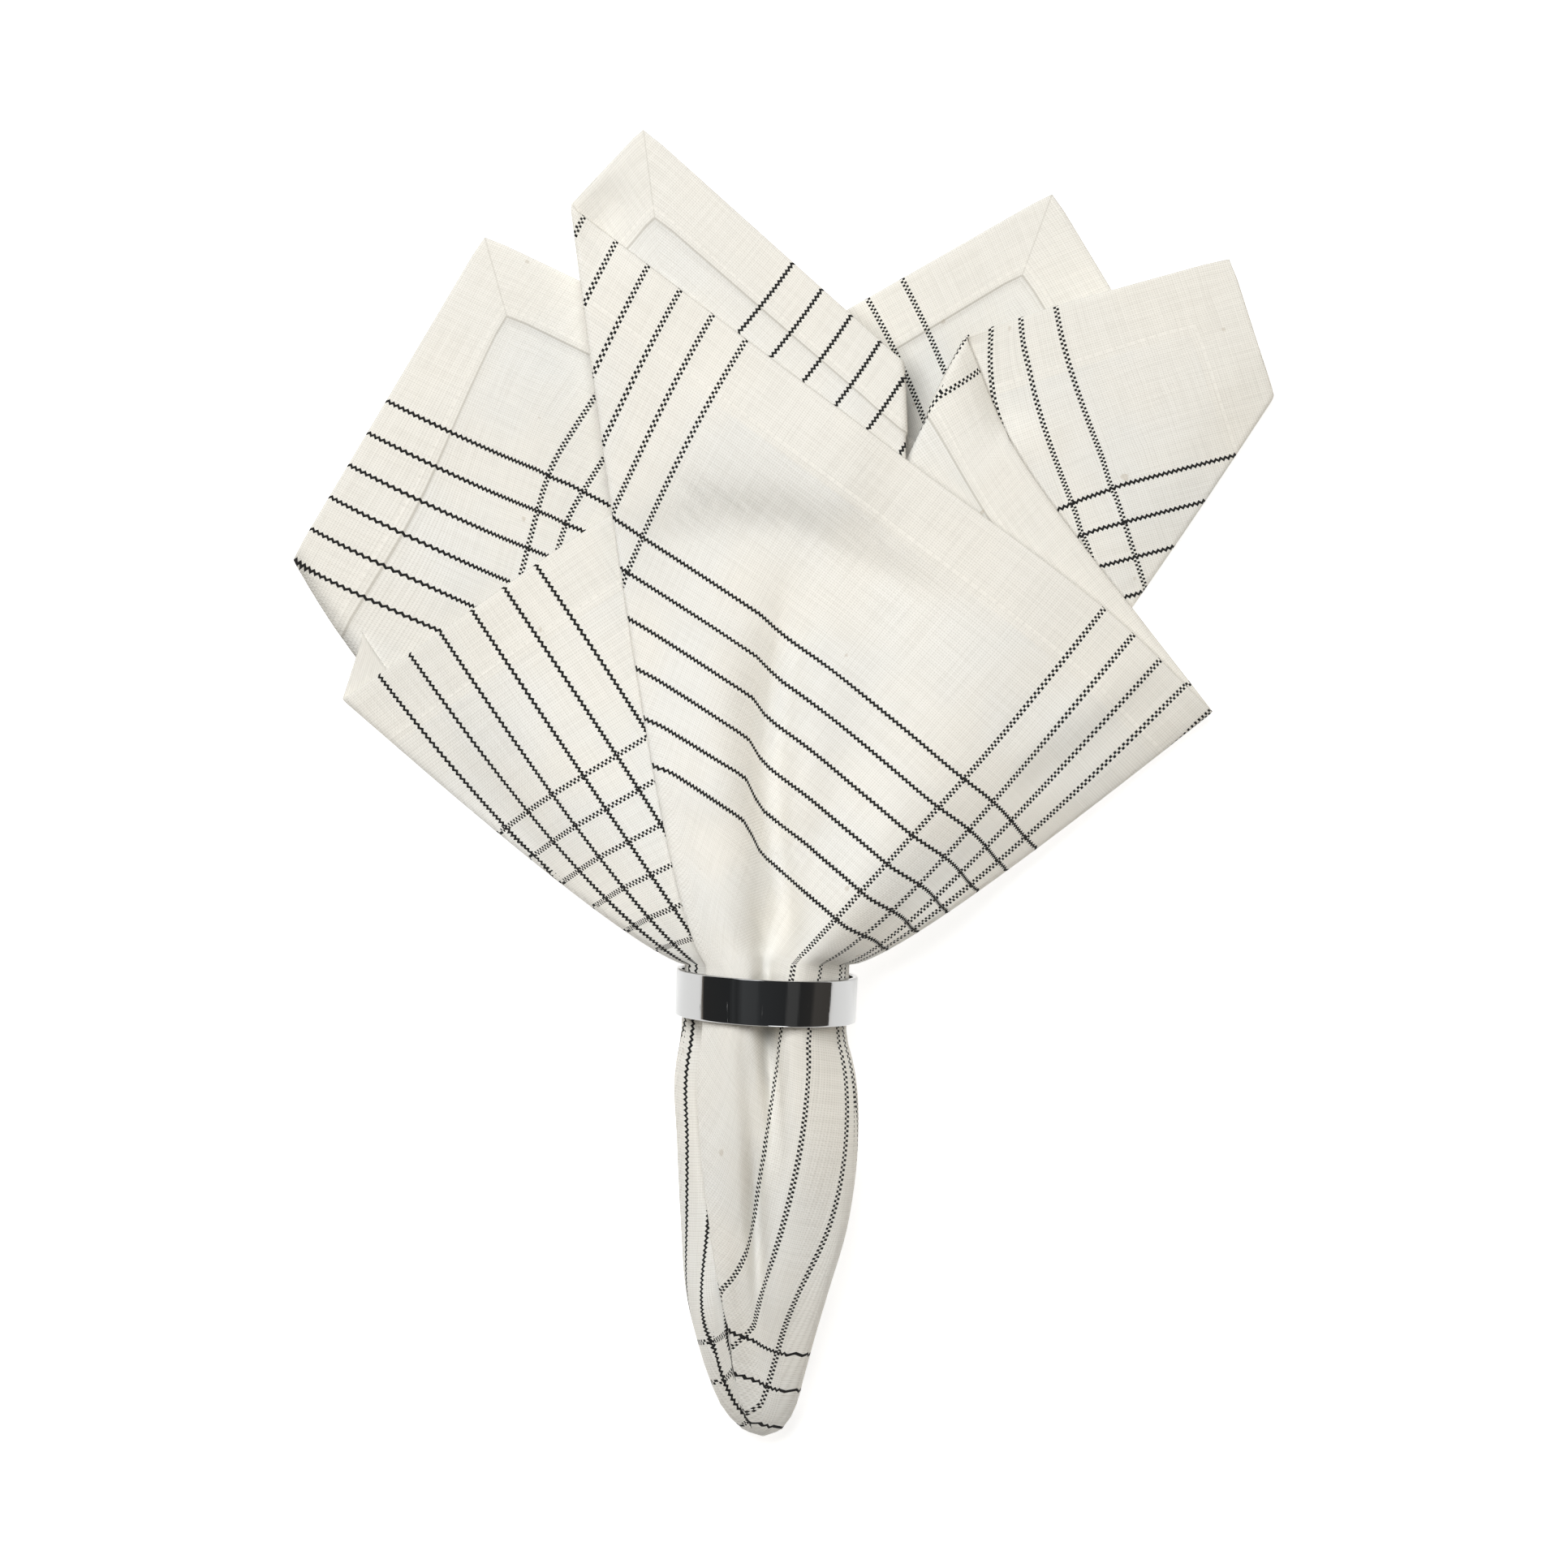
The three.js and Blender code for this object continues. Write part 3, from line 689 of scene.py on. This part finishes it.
def cloth_mesh(thick, hem_depth, hem_thick):
    """Vertices, faces, flat places and marks of the closed sheet, in millimetres."""
    rows = cloth_rows()
    count = len(rows[0][0])
    tip = np.array([TAIL[0].x, TAIL[0].y, TAIL[0].high])
    grid = np.array([row[0] for row in rows])
    ahead = np.concatenate([grid[1:], grid[-1:]])
    behind = np.concatenate([np.broadcast_to(tip, (1, count, 3)), grid[:-1]])
    normal = np.cross(ahead - behind, np.array([row[1] for row in rows]))
    normal /= np.linalg.norm(normal, axis=2)[:, :, None]
    flat = np.array([row[2] for row in rows])
    from_edge = HALF - np.abs(flat).max(axis=2)
    rounded = np.interp(from_edge, EDGE_PLACES, EDGE_SHARES)
    hemmed = 1 - ease(hem_depth, hem_depth + HEM_STEP, from_edge)
    outer = thick / 2 * rounded
    inner = (thick / 2 + hem_thick * hemmed) * rounded
    sides = []
    for sign, amount in ((1, outer), (-1, inner)):
        pole = tip + np.array([0, -sign * thick / 2, 0])
        sides.append(np.vstack([pole, (grid + sign * amount[:, :, None] * normal).reshape(-1, 3)]))
    total = 1 + len(rows) * count
    column = np.arange(count)
    beside = (column + 1) % count
    tip_faces = np.stack([np.zeros(count, int), 1 + column, 1 + beside], axis=1)
    row = np.arange(len(rows) - 1)[:, None] * count + 1
    quads = np.stack([row + column, row + count + column, row + count + beside, row + beside], axis=2)
    quads = quads.reshape(-1, 4)
    edge = 1 + (len(rows) - 1) * count
    here, there = edge + column, edge + beside
    closing = np.stack([here, here + total, there + total, there], axis=1)
    faces = [*tip_faces.tolist(), *(tip_faces[:, ::-1] + total).tolist(), *quads.tolist()]
    faces += [*(quads[:, ::-1] + total).tolist(), *closing.tolist()]
    places = np.vstack([[[0, 0]], flat.reshape(-1, 2)])
    marks = {"side": np.repeat([0.0, 1.0], total)}
    for name, width in zip(("wide_x", "wide_y"), line_widths(grid, flat)):
        marks[name] = np.tile(np.append(1.0, width.ravel()), 2)
    return np.vstack(sides), faces, np.vstack([places, places]), marks


class Nodes:
    """Short forms for the nodes of one tree."""

    def __init__(self, tree):
        self.tree = tree

    def link(self, source, socket):
        self.tree.links.new(source, socket)

    def node(self, kind, *values, sockets=None, **settings):
        """A new node, with values or links put into its first sockets or into those named."""
        made = self.tree.nodes.new(kind)
        for name, setting in settings.items():
            setattr(made, name, setting)
        for value, key in zip(values, sockets or range(len(values))):
            if isinstance(value, bpy.types.NodeSocket):
                self.link(value, made.inputs[key])
            else:
                made.inputs[key].default_value = value
        return made

    def math(self, operation, *values):
        return self.node("ShaderNodeMath", *values, operation=operation).outputs[0]

    def plus(self, first, second):
        return self.math("ADD", first, second)

    def minus(self, first, second):
        return self.math("SUBTRACT", first, second)

    def times(self, first, second):
        return self.math("MULTIPLY", first, second)

    def size(self, value):
        return self.math("ABSOLUTE", value)

    def below(self, value, limit):
        return self.math("LESS_THAN", value, limit)

    def repeat(self, value, pitch):
        return self.math("FLOORED_MODULO", value, pitch)

    def count(self, value, pitch):
        return self.math("FLOOR", self.math("DIVIDE", value, pitch))


class Shade(Nodes):
    """One material, with short forms for its patterns."""

    def __init__(self, name):
        self.material = bpy.data.materials.new(name)
        self.material.use_nodes = True
        super().__init__(self.material.node_tree)
        self.shader = self.tree.nodes["Principled BSDF"]

    def set(self, name, value):
        self.shader.inputs[name].default_value = value

    def feed(self, source, name):
        self.link(source, self.shader.inputs[name])

    def mark(self, name):
        return self.node("ShaderNodeAttribute", attribute_name=name).outputs["Fac"]

    def ramp(self, value, low, high, to_low=0.0, to_high=1.0):
        values = (value, low, high, to_low, to_high)
        return self.node("ShaderNodeMapRange", *values, interpolation_type="SMOOTHSTEP").outputs[0]

    def line(self, value, place, edges):
        """1 along a line, and 0 beyond its soft edges."""
        return self.ramp(self.size(self.minus(value, place)), *edges, 1.0, 0.0)

    def blend(self, share, *colours):
        """A mix of two colours, put into the node's own sockets for colours."""
        return self.node("ShaderNodeMix", share, *colours, sockets=(0, 6, 7), data_type="RGBA").outputs[2]

    def noise(self, vector, scale, detail=2.0):
        sockets = ("Vector", "Scale", "Detail")
        return self.node("ShaderNodeTexNoise", vector, scale, detail, sockets=sockets).outputs["Fac"]

    def stretch(self, vector, scale):
        return self.node("ShaderNodeMapping", vector, scale, sockets=("Vector", "Scale")).outputs[0]

    def bump(self, height, strength, distance):
        sockets = ("Height", "Strength", "Distance")
        made = self.node("ShaderNodeBump", height, strength, distance, sockets=sockets)
        self.feed(made.outputs[0], "Normal")


def band_offset(shade, place, pitch, outer_start):
    """Signed distance from the nearest woven line, and whether the place is in one of the three bands."""
    half = pitch / 2
    start = outer_start - half
    away = shade.size(place)
    in_middle = shade.below(away, LINES_IN_BAND / 2 * pitch)
    past = shade.math("GREATER_THAN", away, start)
    in_outer = shade.times(past, shade.below(away, start + LINES_IN_BAND * pitch))
    local = shade.minus(away, shade.times(in_outer, start))
    offset = shade.minus(shade.repeat(local, pitch), half)
    return offset, shade.math("MAXIMUM", in_middle, in_outer)


def dotted_line(shade, offset, along, pitch, step):
    """Two columns of woven dots, set like a draughtboard."""
    row = shade.math("DIVIDE", along, step)
    turn = shade.repeat(shade.plus(shade.count(offset, pitch), row), 2.0)
    near = shade.below(shade.size(offset), pitch)
    return shade.times(near, shade.below(turn, DOT_LENGTH))


def zigzag_line(shade, offset, along, pitch):
    """A solid line that steps from side to side with the threads that it crosses."""
    swing = shade.math("PINGPONG", along, pitch)
    middle = shade.times(shade.minus(swing, pitch / 2), ZIGZAG_SWING)
    return shade.line(offset, middle, [pitch * edge for edge in ZIGZAG_EDGES])


def woven_lines(shade, cloth, x, y):
    """The bands of dotted and zigzag lines, which keep their width where the cloth is gathered."""
    thread, weft = cloth.thread_pitch / MM, cloth.weft_pitch / MM
    dotted, in_dotted = band_offset(shade, x, cloth.dotted_pitch / MM, cloth.dotted_start / MM)
    zigzag, in_zigzag = band_offset(shade, y, cloth.zigzag_pitch / MM, cloth.zigzag_start / MM)
    dotted = shade.times(dotted, shade.mark("wide_x"))
    zigzag = shade.times(zigzag, shade.mark("wide_y"))
    dots = shade.times(dotted_line(shade, dotted, y, thread * DOT_SCALE, weft * DOT_STEP), in_dotted)
    steps = shade.times(zigzag_line(shade, zigzag, x, thread), in_zigzag)
    return shade.math("MAXIMUM", dots, steps)


def plain_weave(shade, cloth, x, y):
    """Gaps between the threads, which are darkened as painted shade, and the height of the threads as
    they pass over and under.
    """
    thread, weft = cloth.thread_pitch / MM, cloth.weft_pitch / MM
    warps = shade.size(shade.math("SINE", shade.times(x, math.pi / thread)))
    wefts = shade.size(shade.math("SINE", shade.times(y, math.pi / weft)))
    gap_shade = shade.times(shade.minus(1.0, warps), shade.minus(1.0, wefts))
    turn = shade.repeat(shade.plus(shade.count(x, thread), shade.count(y, weft)), 2.0)
    lifted = shade.times(shade.below(turn, 0.5), shade.minus(warps, wefts))
    return gap_shade, shade.plus(wefts, lifted)


def hem_marks(shade, cloth, x, y):
    """Where the hem is, the painted shadow along its step and the mitre line on its inner side, and its
    stitches.
    """
    depth = cloth.hem_depth / MM
    far_x, far_y = shade.size(x), shade.size(y)
    from_edge = shade.minus(HALF, shade.math("MAXIMUM", far_x, far_y))
    hem = shade.ramp(from_edge, depth - HEM_EDGE, depth + HEM_EDGE, 1.0, 0.0)
    # Painted shadow: a dark line just beyond the hem's inner edge, where the turned hem's step casts
    # shade
    step_shadow = shade.line(from_edge, depth + STEP_SHADOW_PLACE, STEP_SHADOW_EDGES)
    diagonal = shade.size(shade.minus(far_x, far_y))
    mitre = shade.times(shade.ramp(diagonal, *MITRE_EDGES, MITRE_SHARE, 0.0), hem)
    step_shadow_and_mitre = shade.times(shade.math("MAXIMUM", step_shadow, mitre), shade.mark("side"))
    along = shade.math("MINIMUM", far_x, far_y)
    stitch = shade.below(shade.repeat(along, STITCH_PITCH), STITCH_LENGTH)
    seam = shade.line(from_edge, depth - SEAM_INSET, SEAM_EDGES)
    return hem, step_shadow_and_mitre, shade.times(seam, stitch)


def cotton_material(cloth):
    """Plain-weave cotton: threads, woven line bands, a stitched and mitred hem, slubs and specks."""
    shade = Shade("cotton")
    uv = shade.node("ShaderNodeUVMap", uv_map="flat").outputs[0]
    apart = shade.node("ShaderNodeSeparateXYZ", uv)
    x, y = (shade.times(shade.minus(apart.outputs[axis], 0.5), SIDE) for axis in ("X", "Y"))
    lines = woven_lines(shade, cloth, x, y)
    gap_shade, height = plain_weave(shade, cloth, x, y)
    hem, step_shadow_and_mitre, stitches = hem_marks(shade, cloth, x, y)

    cloud = shade.ramp(shade.noise(uv, CLOUD_SCALE), *CLOUD_EDGES)
    slubs_x = shade.noise(shade.stretch(uv, (SLUB_LONG, SLUB_FINE, 1.0)), 1.0)
    slubs_y = shade.noise(shade.stretch(uv, (SLUB_FINE, SLUB_LONG, 1.0)), 1.0)
    slub = shade.plus(slubs_x, slubs_y)
    specks = shade.ramp(shade.noise(uv, SPECK_SCALE, 1.0), *SPECK_EDGES)

    colour = shade.blend(cloud, tuple(cloth.cool_colour), tuple(cloth.cloth_colour))
    coats = (
        (shade.times(hem, HEM_SHARE), cloth.hem_colour),
        # Painted shade in the gaps between the threads
        (shade.times(gap_shade, GAP_SHADE_SHARE), cloth.gap_colour),
        (shade.ramp(slub, *SLUB_EDGES, SLUB_SHARE, 0.0), cloth.gap_colour),
        # Painted shadow along the hem's step, together with the mitre line, in the gap colour
        (shade.times(step_shadow_and_mitre, STEP_SHADOW_AND_MITRE_SHARE), cloth.gap_colour),
        (shade.times(stitches, STITCH_SHARE), cloth.stitch_colour),
        (shade.times(specks, SPECK_SHARE), cloth.speck_colour),
        (shade.times(lines, LINE_SHARE), cloth.line_colour),
    )
    for share, tint in coats:
        colour = shade.blend(share, colour, tuple(tint))
    shade.feed(colour, "Base Color")
    for name, value in COTTON_FINISH.items():
        shade.set(name, value)
    raised = shade.plus(height, shade.times(slub, SLUB_HEIGHT))
    shade.bump(shade.minus(raised, shade.times(stitches, STITCH_DEPTH)), COTTON_BUMP, THREAD_HEIGHT)
    return shade.material


def steel_material(ring):
    """Polished steel with faint hairline scratches."""
    shade = Shade("polished_steel")
    place = shade.node("ShaderNodeTexCoord").outputs["Object"]
    hairs = shade.noise(shade.stretch(place, HAIR_SCALES), 1.0, HAIR_DETAIL)
    cloud = shade.noise(place, SMUDGE_SCALE)
    scratched = shade.ramp(hairs, *SCRATCH_EDGES, 0.0, SCRATCH_BLUR)
    smudged = shade.ramp(cloud, *SMUDGE_EDGES, ring.roughness, ring.roughness + SMUDGE_BLUR)
    shade.set("Base Color", (*ring.colour, 1.0))
    shade.feed(shade.ramp(hairs, *DULL_EDGES, 1.0, DULL_METAL), "Metallic")
    shade.feed(shade.plus(scratched, smudged), "Roughness")
    shade.bump(hairs, STEEL_BUMP, SCRATCH_DEPTH)
    return shade.material


def floor_material(stage):
    """A matt pale floor with a glow that lifts it to white."""
    shade = Shade("pale_floor")
    shade.set("Base Color", (*stage.floor_colour, 1.0))
    shade.set("Roughness", FLOOR_ROUGHNESS)
    shade.set("Emission Color", (1.0, 1.0, 1.0, 1.0))
    shade.set("Emission Strength", stage.floor_glow)
    return shade.material


def dark_room():
    """A dark room with faint upright panels, which show in the polished ring."""
    world = bpy.data.worlds.new("dark_room")
    world.use_nodes = True
    nodes = Nodes(world.node_tree)
    apart = nodes.node("ShaderNodeSeparateXYZ", nodes.node("ShaderNodeTexCoord").outputs["Generated"])
    lean = nodes.math("ARCTAN2", apart.outputs["X"], apart.outputs["Z"])
    panels = nodes.node("ShaderNodeValToRGB", nodes.math("MULTIPLY_ADD", lean, 1 / math.pi, 0.5))
    stops = panels.color_ramp.elements
    while len(stops) > 1:
        stops.remove(stops[-1])
    for i, (angle, level, warmth) in enumerate(ROOM):
        place = angle / 180 + 0.5
        stop = stops[0] if i == 0 else stops.new(place)
        stop.position = place
        stop.color = (level * (1 + warmth), level, level * (1 - warmth), 1)
    nodes.link(panels.outputs[0], nodes.tree.nodes["Background"].inputs["Color"])
    return world


def deselect():
    bpy.ops.object.select_all(action="DESELECT")


def add_lamp(stage, lamp):
    deselect()
    bpy.ops.object.light_add(type="AREA", radius=lamp.size, location=lamp.place)
    light = bpy.context.object
    light.name = lamp.name
    light.data.energy = getattr(stage, lamp.power) * lamp.share
    light.data.color = getattr(stage, lamp.colour)
    light.rotation_euler = (-light.location).to_track_quat("-Z", "Y").to_euler()
    light.visible_glossy = lamp.glint
    light.visible_diffuse = not lamp.glint


def length_property(name, description, millimetres):
    return FloatProperty(name=name, description=description, default=millimetres * MM,
                         unit="LENGTH", precision=5)


def power_property(name, description, watts):
    return FloatProperty(name=name, description=description, default=watts, min=0, unit="POWER")


def colour_property(name, description, *colour):
    return FloatVectorProperty(name=name, description=description, default=colour, size=len(colour),
                               subtype="COLOR", min=0.0, max=1.0)


class NapkinCloth(bpy.types.PropertyGroup):
    """Sizes and colours of the cloth."""

    thickness: length_property("Thickness", "Thickness of the cotton", 0.55)
    hem_depth: length_property("Hem", "Depth of the turned hem", 15)
    hem_thickness: length_property("Hem thickness", "Thickness that the turned hem adds", 0.5)
    thread_pitch: length_property("Warp", "Distance from warp thread to warp thread", 0.595)
    weft_pitch: length_property("Weft", "Distance from weft thread to weft thread", 0.51)
    dotted_pitch: length_property("Dotted pitch", "Distance between dotted lines", 10.2)
    dotted_start: length_property("Dotted start", "First dotted line of an outer band", 129.5)
    zigzag_pitch: length_property("Zigzag pitch", "Distance between zigzag lines", 8.95)
    zigzag_start: length_property("Zigzag start", "First zigzag line of an outer band", 134)
    cloth_colour: colour_property("Cloth", "Off-white cotton", 0.84, 0.815, 0.755, 1)
    cool_colour: colour_property("Cool cloth", "Paler places of the cotton", 0.82, 0.81, 0.77, 1)
    hem_colour: colour_property("Hem", "Double cloth of the hem", 0.85, 0.822, 0.755, 1)
    # Painted shade between the threads and beside the hem's step; the same colour also darkens thin slubs
    # and the mitre line
    gap_colour: colour_property("Gaps", "Shade between the threads", 0.42, 0.39, 0.33, 1)
    stitch_colour: colour_property("Stitches", "Sewing thread", 0.93, 0.9, 0.83, 1)
    speck_colour: colour_property("Specks", "Bits of cotton seed", 0.42, 0.34, 0.24, 1)
    line_colour: colour_property("Lines", "Charcoal yarn", 0.009, 0.009, 0.01, 1)


class NapkinRing(bpy.types.PropertyGroup):
    """Sizes and finish of the ring."""

    radius: length_property("Radius", "Outer radius of the ring", 21.5)
    band: length_property("Band", "Height of the band", 11)
    wall: length_property("Wall", "Thickness of the steel", 1.3)
    edge: length_property("Edge", "Roundness of the band's edges", 0.45)
    colour: colour_property("Steel", "Tint of the steel", 0.48, 0.482, 0.48)
    roughness: FloatProperty(name="Roughness", description="Blur of its reflections",
                             default=0.045, min=0, max=1, subtype="FACTOR")


class NapkinStage(bpy.types.PropertyGroup):
    """The floor, light and camera."""

    floor_colour: colour_property("Floor", "Pale floor", 0.6, 0.6, 0.6)
    floor_glow: FloatProperty(name="Floor glow", description="Light added to the floor",
                              default=0.74, min=0, max=1, subtype="FACTOR")
    key_power: power_property("Key", "Power of the soft light above", 20.7)
    side_power: power_property("Side", "Power of the right side light", 3)
    glint_power: power_property("Glint", "Power of each light that shows in the ring alone", 2)
    key_colour: colour_property("Key colour", "Colour of the light above", 0.98, 0.99, 1.0)
    side_colour: colour_property("Side colour", "Colour of the side lights", 1.0, 0.87, 0.68)
    view_width: length_property("View width", "Width of the picture at the table", 371.7)
    view_height: length_property("View height", "Height of the camera above the table", 6000)


class NAPKIN_OT_cloth(bpy.types.Operator):
    """Fold the square of cotton into its fan, neck and tail"""

    bl_idname = "napkin.cloth"
    bl_label = "Napkin"

    def execute(self, context):
        cloth = context.scene.napkin_cloth
        sizes = (cloth.thickness, cloth.hem_depth, cloth.hem_thickness)
        vertices, faces, places, marks = cloth_mesh(*(size / MM for size in sizes))
        mesh = bpy.data.meshes.new("napkin_cloth")
        mesh.from_pydata((vertices * MM).tolist(), [], faces)
        layer = mesh.uv_layers.new(name="flat")
        corners = np.zeros(len(mesh.loops), int)
        mesh.loops.foreach_get("vertex_index", corners)
        layer.data.foreach_set("uv", (places[corners] / SIDE + 0.5).astype(np.float32).ravel())
        for name, values in marks.items():
            mark = mesh.attributes.new(name, "FLOAT", "POINT")
            mark.data.foreach_set("value", values.astype(np.float32))
        piece = bpy.data.objects.new("napkin_cloth", mesh)
        context.scene.collection.objects.link(piece)
        deselect()
        piece.select_set(True)
        context.view_layer.objects.active = piece
        bpy.ops.object.shade_smooth()
        piece.data.materials.append(cotton_material(cloth))
        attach(piece, "root")
        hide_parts("napkin")
        return {"FINISHED"}


class NAPKIN_OT_ring(bpy.types.Operator):
    """Make the polished band round the neck of the napkin"""

    bl_idname = "napkin.ring"
    bl_label = "Ring"

    def execute(self, context):
        ring = context.scene.napkin_ring
        deselect()
        bpy.ops.mesh.primitive_cylinder_add(
            vertices=RING_SIDES,
            radius=ring.radius,
            depth=ring.band,
            end_fill_type="NOTHING",
            location=(RING_BOX[0] + RING_BOX[1]) / 2,
            rotation=(math.pi / 2 + RING_LEAN, 0, RING_TURN),
        )
        piece = context.object
        piece.name = "steel_ring"
        piece.data.name = "steel_ring"
        wall = piece.modifiers.new("Wall", "SOLIDIFY")
        wall.thickness = ring.wall
        wall.offset = -1
        edges = piece.modifiers.new("Edges", "BEVEL")
        edges.width = ring.edge
        edges.segments = EDGE_SEGMENTS
        for name in ("Wall", "Edges"):
            bpy.ops.object.modifier_apply(modifier=name)
        bpy.ops.object.transform_apply(location=True, rotation=True, scale=True)
        bpy.ops.object.shade_smooth_by_angle(angle=SMOOTH_ANGLE)
        piece.data.materials.clear()
        piece.data.materials.append(steel_material(ring))
        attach(piece, "root")
        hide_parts("ring")
        return {"FINISHED"}


class NAPKIN_OT_stage(bpy.types.Operator):
    """Set the pale floor, the soft lights and the camera"""

    bl_idname = "napkin.stage"
    bl_label = "Stage"

    def execute(self, context):
        stage = context.scene.napkin_stage
        deselect()
        bpy.ops.mesh.primitive_plane_add(size=FLOOR_SIZE, location=(0, 0, 0))
        floor = context.object
        floor.name = "floor"
        floor.data.materials.append(floor_material(stage))
        for lamp in LAMPS:
            add_lamp(stage, lamp)
        context.scene.world = dark_room()
        context.scene.view_settings.view_transform = "Standard"
        bpy.ops.object.camera_add(location=(0, 0, stage.view_height), rotation=(0, 0, 0))
        camera = context.object
        camera.name = "camera_above"
        camera.data.lens = camera.data.sensor_width * stage.view_height / stage.view_width
        camera.data.clip_end = CAMERA_REACH
        context.scene.camera = camera
        return {"FINISHED"}


class NAPKIN_PT_panel(bpy.types.Panel):
    """Lists the napkin's pieces and their settings"""

    bl_idname = "NAPKIN_PT_panel"
    bl_label = "Napkin in a Ring"
    bl_space_type = "VIEW_3D"
    bl_region_type = "UI"
    bl_category = "Napkin"

    def draw(self, context):
        for (name, group), operator in zip(SETTINGS, OPERATORS):
            box = self.layout.box()
            for field in group.__annotations__:
                box.prop(getattr(context.scene, name), field)
            box.operator(operator.bl_idname)


SETTINGS = (("napkin_cloth", NapkinCloth), ("napkin_ring", NapkinRing), ("napkin_stage", NapkinStage))
OPERATORS = (NAPKIN_OT_cloth, NAPKIN_OT_ring, NAPKIN_OT_stage)
CLASSES = (NapkinCloth, NapkinRing, NapkinStage, *OPERATORS, NAPKIN_PT_panel)


def register():
    for item in CLASSES:
        bpy.utils.register_class(item)
    for name, group in SETTINGS:
        setattr(bpy.types.Scene, name, PointerProperty(type=group))


def unregister():
    for name, _ in SETTINGS:
        delattr(bpy.types.Scene, name)
    for item in reversed(CLASSES):
        bpy.utils.unregister_class(item)


def main():
    register()
    bpy.ops.napkin.ring()
    bpy.ops.napkin.cloth()
    bpy.ops.napkin.stage()


if __name__ == "__main__":
    main()
